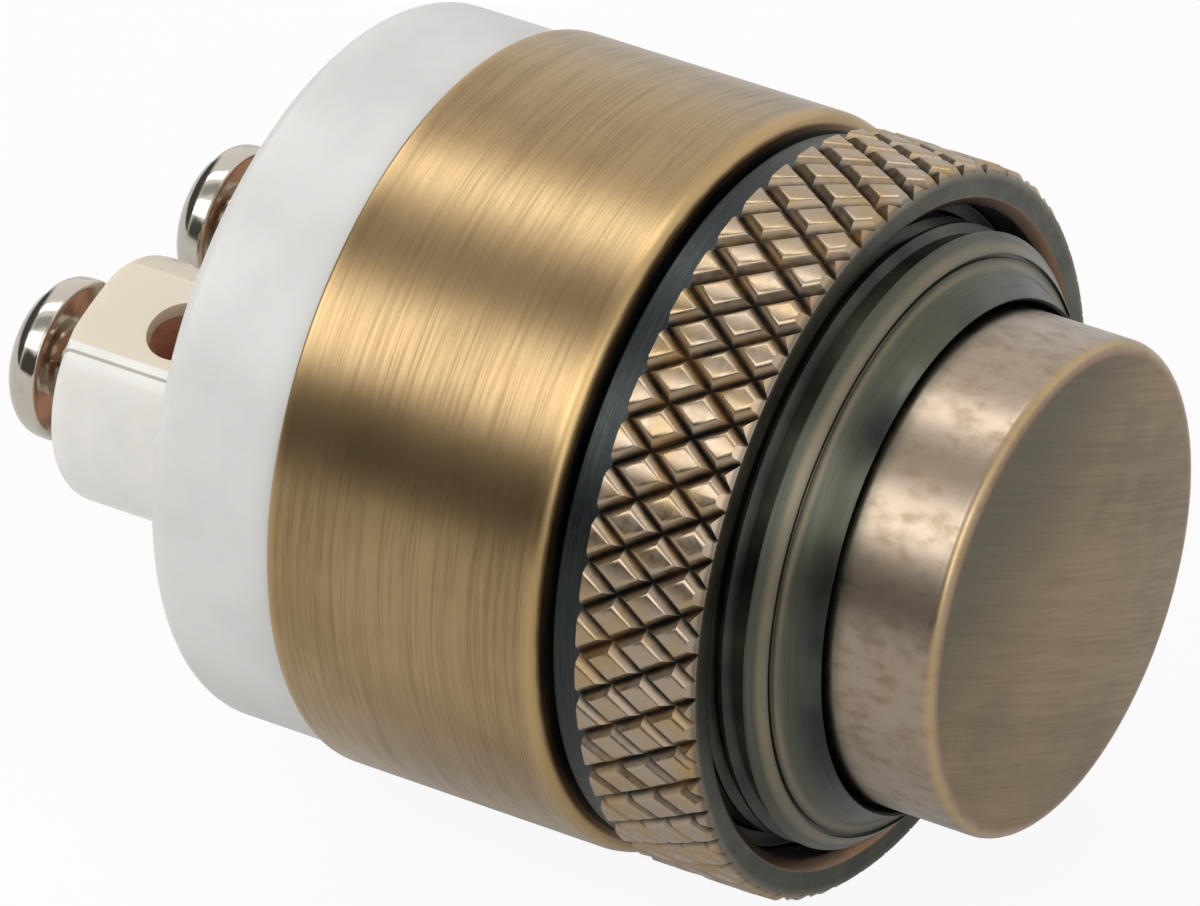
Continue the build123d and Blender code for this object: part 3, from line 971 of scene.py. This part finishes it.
class PUSH_OT_button(bpy.types.Operator):
    """Turn the button with its domed face, rounded rim and flange"""

    bl_idname = "push.button"
    bl_label = "Button"

    def execute(self, context):
        s = in_mm(context.scene.push_button)
        edge = s.crown - s.crown_height
        face_r = s.side - s.rim_round
        dome_r = (face_r**2 + s.crown_height**2) / (2 * s.crown_height)
        dome_steps = 12
        dome = []
        for step in range(1, dome_steps + 1):
            radius = face_r * (1 - step / dome_steps)
            dome.append((radius, -(s.crown - dome_r + sqrt(dome_r**2 - radius**2)), 0))
        outline = [
            (0, -(edge - s.face), 0),
            (s.cup, -(edge - s.face), 0),
            (s.cup, -s.rear, PLAIN),
            (s.flange, -s.rear, WIDE),
            (s.flange, -(s.rear + s.flange_thickness), WIDE),
            (s.side, -(s.rear + s.flange_thickness), 0),
            *quarter((face_r, -(edge - s.rim_round)), s.rim_round, -s.rim_round, 8),
            *dome,
        ]
        finish_piece(
            lathe(outline, closed=False), "turned_button", "button",
            finish_named("Button brass"), ["button"],
        )
        return {"FINISHED"}


class PUSH_OT_base(bpy.types.Operator):
    """Mould the nylon base with its spigot and the holes for the posts"""

    bl_idname = "push.base"
    bl_label = "Nylon base"

    def execute(self, context):
        s = in_mm(context.scene.push_base)
        body_rear = in_mm(context.scene.push_housing).rear
        rounding = quarter(
            (s.radius - s.edge_round, s.rear - s.edge_round), s.edge_round, s.edge_round, 10
        )
        outline = [
            (0, s.rear, 0),
            *reversed(rounding),
            (s.radius, body_rear, SOFT),
            (s.spigot, body_rear, 0),
            (s.spigot, s.spigot_front, WIDE),
            (s.spigot_bore, s.spigot_front, 0),
            (s.spigot_bore, body_rear, 0),
            (0, body_rear, 0),
        ]
        base = lathe(outline, closed=False)
        for side in (-1, 1):
            hole = rod(
                s.post + s.post_gap, body_rear - OVERLAP, s.rear + OVERLAP, side * s.post_offset
            )
            base = combine(base, hole, "DIFFERENCE")
        tidy(base)
        finish_piece(
            base, "nylon_base", "housing", finish_named("White nylon"),
            ["base_cap"], sharp=40,
        )
        return {"FINISHED"}


def wire_entry(s, side, depth):
    """The tool that cuts one post's wire entry, leaning outward."""
    bm = bmesh.new()
    bmesh.ops.create_cone(
        bm, cap_ends=True, segments=SMALL_STEPS, radius1=s.wire, radius2=s.wire, depth=depth
    )
    move(bm, z=depth / 2)
    lean(bm, side * s.wire_lean)
    move(bm, side * s.post_offset, s.wire_place)
    return bm


def flat_cutter(s, side):
    """The tool that cuts one post's flat behind the base, square to its wire entry."""
    thickness = s.post - s.flat + OVERLAP
    reach = s.post_rear - s.rear + OVERLAP
    bm = brick(2 * s.post, reach, thickness)
    move(bm, y=s.rear + s.post_gap + reach / 2, z=s.flat + thickness / 2)
    lean(bm, side * s.wire_lean)
    move(bm, side * s.post_offset)
    return bm


class PUSH_OT_posts(bpy.types.Operator):
    """Mould the ivory terminal block with its two bored posts"""

    bl_idname = "push.posts"
    bl_label = "Terminal posts"

    def execute(self, context):
        s = in_mm(context.scene.push_base)
        block = rod(s.spigot, s.plate_front, s.spigot_front, steps=TURN_STEPS)
        block = combine(block, rod(s.boss, s.boss_front, s.plate_front + OVERLAP), "UNION")
        post_front = s.spigot_front - OVERLAP
        for side in (-1, 1):
            x = side * s.post_offset
            post = lathe(
                [
                    (0, post_front, 0),
                    (s.post, post_front, 0),
                    (s.post, s.post_rear, s.post_round),
                    (0, s.post_rear, 0),
                ],
                POST_STEPS, False,
            )
            move(post, x)
            post = combine(post, flat_cutter(s, side), "DIFFERENCE")
            block = combine(block, post, "UNION")
            for tool in (
                rod(s.insert, s.insert_front, s.post_rear + OVERLAP, x),
                rod(s.stud, s.plate_front - OVERLAP, s.insert_front + OVERLAP, x),
                wire_entry(s, side, 2 * s.post),
            ):
                block = combine(block, tool, "DIFFERENCE")
        tidy(block)
        finish_piece(
            block, "terminal_posts", "housing", finish_named("Ivory nylon"),
            ["terminal_block"], sharp=22,
        )
        return {"FINISHED"}


class PUSH_OT_screws(bpy.types.Operator):
    """Turn the nickel-plated terminal screws with their slots and threads"""

    bl_idname = "push.screws"
    bl_label = "Terminal screws"

    def execute(self, context):
        s = in_mm(context.scene.push_screw)
        offset = in_mm(context.scene.push_base).post_offset
        under = s.top - s.head_height
        root = s.shank - s.thread_depth
        rim = under + s.rim_height
        outline = [
            (0, s.tip, 0),
            (root - s.tip_width, s.tip, 0),
            (root, s.tip + s.tip_length, 0),
            (root, under, WIDE),
            (s.head, under, s.edge_break),
            *quarter((0, rim), s.head, s.top - rim, 10),
        ]
        for side, name in ((-1, "left"), (1, "right")):
            screw = lathe(outline, POST_STEPS, False)
            slot = brick(s.slot_width, 2 * s.slot_depth, 3 * s.head)
            move(slot, y=s.top)
            screw = combine(screw, slot, "DIFFERENCE")
            ridge = thread(
                s.shank, s.thread_depth, s.thread_pitch, s.tip + s.tip_width,
                under - s.thread_end, SMALL_STEPS,
            )
            join(screw, ridge)
            move(screw, side * offset)
            finish_piece(
                screw, f"pan_screw_{name}", "housing",
                finish_named("Nickel plate"), [f"terminal_screw_{name}"], sharp=35,
            )
        return {"FINISHED"}


INNER_PIECES = {
    "plunger": ("button", "white_nylon", "White nylon"),
    "contact_bridge": ("button", "contact_metal", "Contact brass"),
    "bridge_retainer": ("button", "spring_steel", "Spring steel"),
    "return_spring": ("housing", "spring_steel", "Spring steel"),
    "terminal_insert_left": ("housing", "contact_metal", "Contact brass"),
    "terminal_insert_right": ("housing", "contact_metal", "Contact brass"),
    "fixed_contact_left": ("housing", "contact_metal", "Contact brass"),
    "fixed_contact_right": ("housing", "contact_metal", "Contact brass"),
}


def shorten_with_button(spring):
    """Gives the spring its own copy of its mesh."""
    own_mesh(spring)


class PUSH_OT_inner_pieces(bpy.types.Operator):
    """Smooth and finish the mechanism inside the barrel"""

    bl_idname = "push.inner_pieces"
    bl_label = "Mechanism"

    def execute(self, context):
        for node, (body, slot, finish) in INNER_PIECES.items():
            bm = bmesh.new()
            bm.from_mesh(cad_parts[node].data)
            bmesh.ops.scale(bm, vec=(1 / MM, 1 / MM, 1 / MM), verts=bm.verts[:])
            bmesh.ops.remove_doubles(bm, verts=bm.verts[:], dist=MERGE / 2)
            piece = finish_piece(bm, f"{node}_smooth", body, finish_named(finish), [node])
            if node == "return_spring":
                shorten_with_button(piece)
        return {"FINISHED"}


# The two long soft boxes that the barrel mirrors: the way round from +X towards +Z in degrees,
# the width in metres and the power in watts. Both lie along the axis, this far from it, this
# long, and with their middle at this place, in metres.
LONG_BOXES = {"overhead": (82, 0.075, 0.34), "left": (135, 0.14, 0.52)}
BOX_REACH = 0.34
BOX_LENGTH = 0.5
BOX_PLACE = 0.17


def soft_box(name, centre, aim, width, long_side, power):
    """A rectangular lamp with its long side along the push's axis."""
    lamp = bpy.data.lights.new(name, "AREA")
    lamp.shape = "RECTANGLE"
    lamp.size = width
    lamp.size_y = long_side
    lamp.energy = power
    box = bpy.data.objects.new(name, lamp)
    box.location = centre
    away = (Vector(centre) - Vector(aim)).normalized()
    along = Vector(AXIS)
    along = (along - away * along.dot(away)).normalized()
    across = along.cross(away)
    box.rotation_euler = Matrix((across, along, away)).transposed().to_euler()
    box.visible_camera = False
    bpy.context.scene.collection.objects.link(box)
    return box


def seen_rays(tree):
    """One for the rays that show the backdrop, and one for the mirrored ones among them."""
    paths = add(tree, "ShaderNodeLightPath").outputs
    mirrored = paths["Is Glossy Ray"]
    seen = calculate(
        tree, "MAXIMUM", paths["Is Camera Ray"], paths["Is Transmission Ray"], mirrored
    )
    return seen, mirrored


def studio_world():
    """White wherever it is seen, with three dark flags that only mirrors show."""
    world = bpy.data.worlds.new("Studio")
    world.use_nodes = True
    tree = world.node_tree
    tree.nodes.clear()
    way = add(tree, "ShaderNodeTexCoord").outputs["Generated"]
    parts = add(tree, "ShaderNodeSeparateXYZ", {"Vector": way}).outputs
    # One low on the left, one overhead between the soft boxes and one behind the push
    left_flag = times(tree, ramp(tree, parts["X"], -0.62, -0.74),
                      ramp(tree, parts["Z"], 0.5, 0.4, 0.0, 0.92))
    top_flag = times(tree, window(tree, parts["X"], -0.4, -0.12, 0.05),
                     ramp(tree, parts["Z"], 0.6, 0.75, 0.0, 0.55))
    rear_flag = ramp(tree, parts["Y"], 0.7, 0.82, 0.0, 0.92)
    seen, mirrored = seen_rays(tree)
    flags = times(tree, calculate(tree, "MAXIMUM", left_flag, top_flag, rear_flag), mirrored)
    white = add(tree, "ShaderNodeMix", {0: seen, 2: 0.47, 3: 1.0}).outputs[0]
    strength = calculate(tree, "SUBTRACT", white, flags)
    back = add(tree, "ShaderNodeBackground", {"Strength": strength, "Color": (1, 1, 1, 1)})
    add(tree, "ShaderNodeOutputWorld", {"Surface": back.outputs[0]})
    return world


def floor_finish():
    """A pale floor that keeps a soft shadow. Metal mirrors it greyer than the camera sees it."""
    material = bpy.data.materials.new("Pale floor")
    material.use_nodes = True
    tree = material.node_tree
    tree.nodes.clear()
    plain = add(tree, "ShaderNodeBsdfDiffuse", {"Color": (0.82, 0.82, 0.82, 1)})
    glow = add(tree, "ShaderNodeEmission", {"Color": (1, 1, 1, 1), "Strength": 1.0})
    seen, mirrored = seen_rays(tree)
    share = weighted(tree, seen, 0.92, mirrored, -0.67)
    mixed = add(tree, "ShaderNodeMixShader", {0: share, 1: plain.outputs[0], 2: glow.outputs[0]})
    add(tree, "ShaderNodeOutputMaterial", {"Surface": mixed.outputs[0]})
    return material


class PUSH_OT_stage(bpy.types.Operator):
    """Set the floor, the soft boxes, the room and the camera"""

    bl_idname = "push.stage"
    bl_label = "Stage"

    def execute(self, context):
        scene = context.scene
        s = scene.push_stage
        housing = scene.push_housing
        bm = bmesh.new()
        bmesh.ops.create_grid(bm, x_segments=1, y_segments=1, size=1.5)
        move(bm, z=-housing.radius)
        mesh = bpy.data.meshes.new("pale_floor")
        bm.to_mesh(mesh)
        bm.free()
        mesh.materials.append(floor_finish())
        floor = bpy.data.objects.new("pale_floor", mesh)
        scene.collection.objects.link(floor)
        scene.world = studio_world()

        for name, (angle, width, power) in LONG_BOXES.items():
            turn = radians(angle)
            aim = Vector((0, BOX_PLACE, 0))
            centre = aim + Vector((cos(turn), 0, sin(turn))) * BOX_REACH
            soft_box(f"soft_box_{name}", centre, aim, width, BOX_LENGTH, power)
        front = soft_box("soft_box_front", (-0.25, -0.5, 0.25), (0, 0, 0), 0.3, 0.3, 0.5)
        front.data.specular_factor = 0.4

        scene.camera = self.make_camera(s, housing.rear)
        scene.view_settings.view_transform = "Standard"
        return {"FINISHED"}

    def make_camera(self, s, rear):
        """The camera, level with the push and turned a little about its axis."""
        az, el = s.azimuth, s.elevation
        right = Vector((cos(az), sin(az), 0))
        back = Vector((sin(az) * cos(el), -cos(az) * cos(el), sin(el)))
        up = back.cross(right)
        turned = Matrix.Rotation(s.turn, 3, "Y")
        right, up, back = turned @ right, turned @ up, turned @ back
        aim = Vector((0, rear, 0)) + right * s.aim_right + up * s.aim_up
        lens = bpy.data.cameras.new("camera")
        lens.lens = s.lens
        lens.sensor_width = 36
        lens.clip_start = 0.01
        lens.clip_end = 20
        camera = bpy.data.objects.new("camera", lens)
        camera.rotation_euler = Matrix((right, up, back)).transposed().to_euler()
        camera.location = aim + back * s.distance
        bpy.context.scene.collection.objects.link(camera)
        return camera


class PUSH_PT_panel(bpy.types.Panel):
    """Lists the push's operators and sizes"""

    bl_idname = "PUSH_PT_panel"
    bl_label = "Doorbell push"
    bl_space_type = "VIEW_3D"
    bl_region_type = "UI"
    bl_category = "Push"

    def draw(self, context):
        for operator in OPERATORS:
            self.layout.operator(operator.bl_idname)
        for group, name in GROUPS.items():
            box = self.layout.box()
            box.label(text=group.__doc__)
            for setting in group.__annotations__:
                label = setting.replace("_", " ").capitalize()
                box.prop(getattr(context.scene, name), setting, text=label)


GROUPS = {
    HousingSizes: "push_housing",
    RingSizes: "push_ring",
    ButtonSizes: "push_button",
    BaseSizes: "push_base",
    ScrewSizes: "push_screw",
    FinishColours: "push_colours",
    StageSettings: "push_stage",
}
OPERATORS = (
    PUSH_OT_finishes,
    PUSH_OT_housing,
    PUSH_OT_ring,
    PUSH_OT_button,
    PUSH_OT_base,
    PUSH_OT_posts,
    PUSH_OT_screws,
    PUSH_OT_inner_pieces,
    PUSH_OT_stage,
)


def register():
    """Adds the settings, the operators and the panel."""
    for cls in (*GROUPS, *OPERATORS, PUSH_PT_panel):
        bpy.utils.register_class(cls)
    for group, name in GROUPS.items():
        setattr(bpy.types.Scene, name, PointerProperty(type=group))


def unregister():
    """Takes them away again."""
    for name in GROUPS.values():
        delattr(bpy.types.Scene, name)
    for cls in reversed((*GROUPS, *OPERATORS, PUSH_PT_panel)):
        bpy.utils.unregister_class(cls)


def main():
    """Makes the finishes, every piece and the stage."""
    register()
    bpy.ops.push.finishes()
    bpy.ops.push.housing()
    bpy.ops.push.ring()
    bpy.ops.push.button()
    bpy.ops.push.base()
    bpy.ops.push.posts()
    bpy.ops.push.screws()
    bpy.ops.push.inner_pieces()
    bpy.ops.push.stage()


if __name__ == "__main__":
    main()
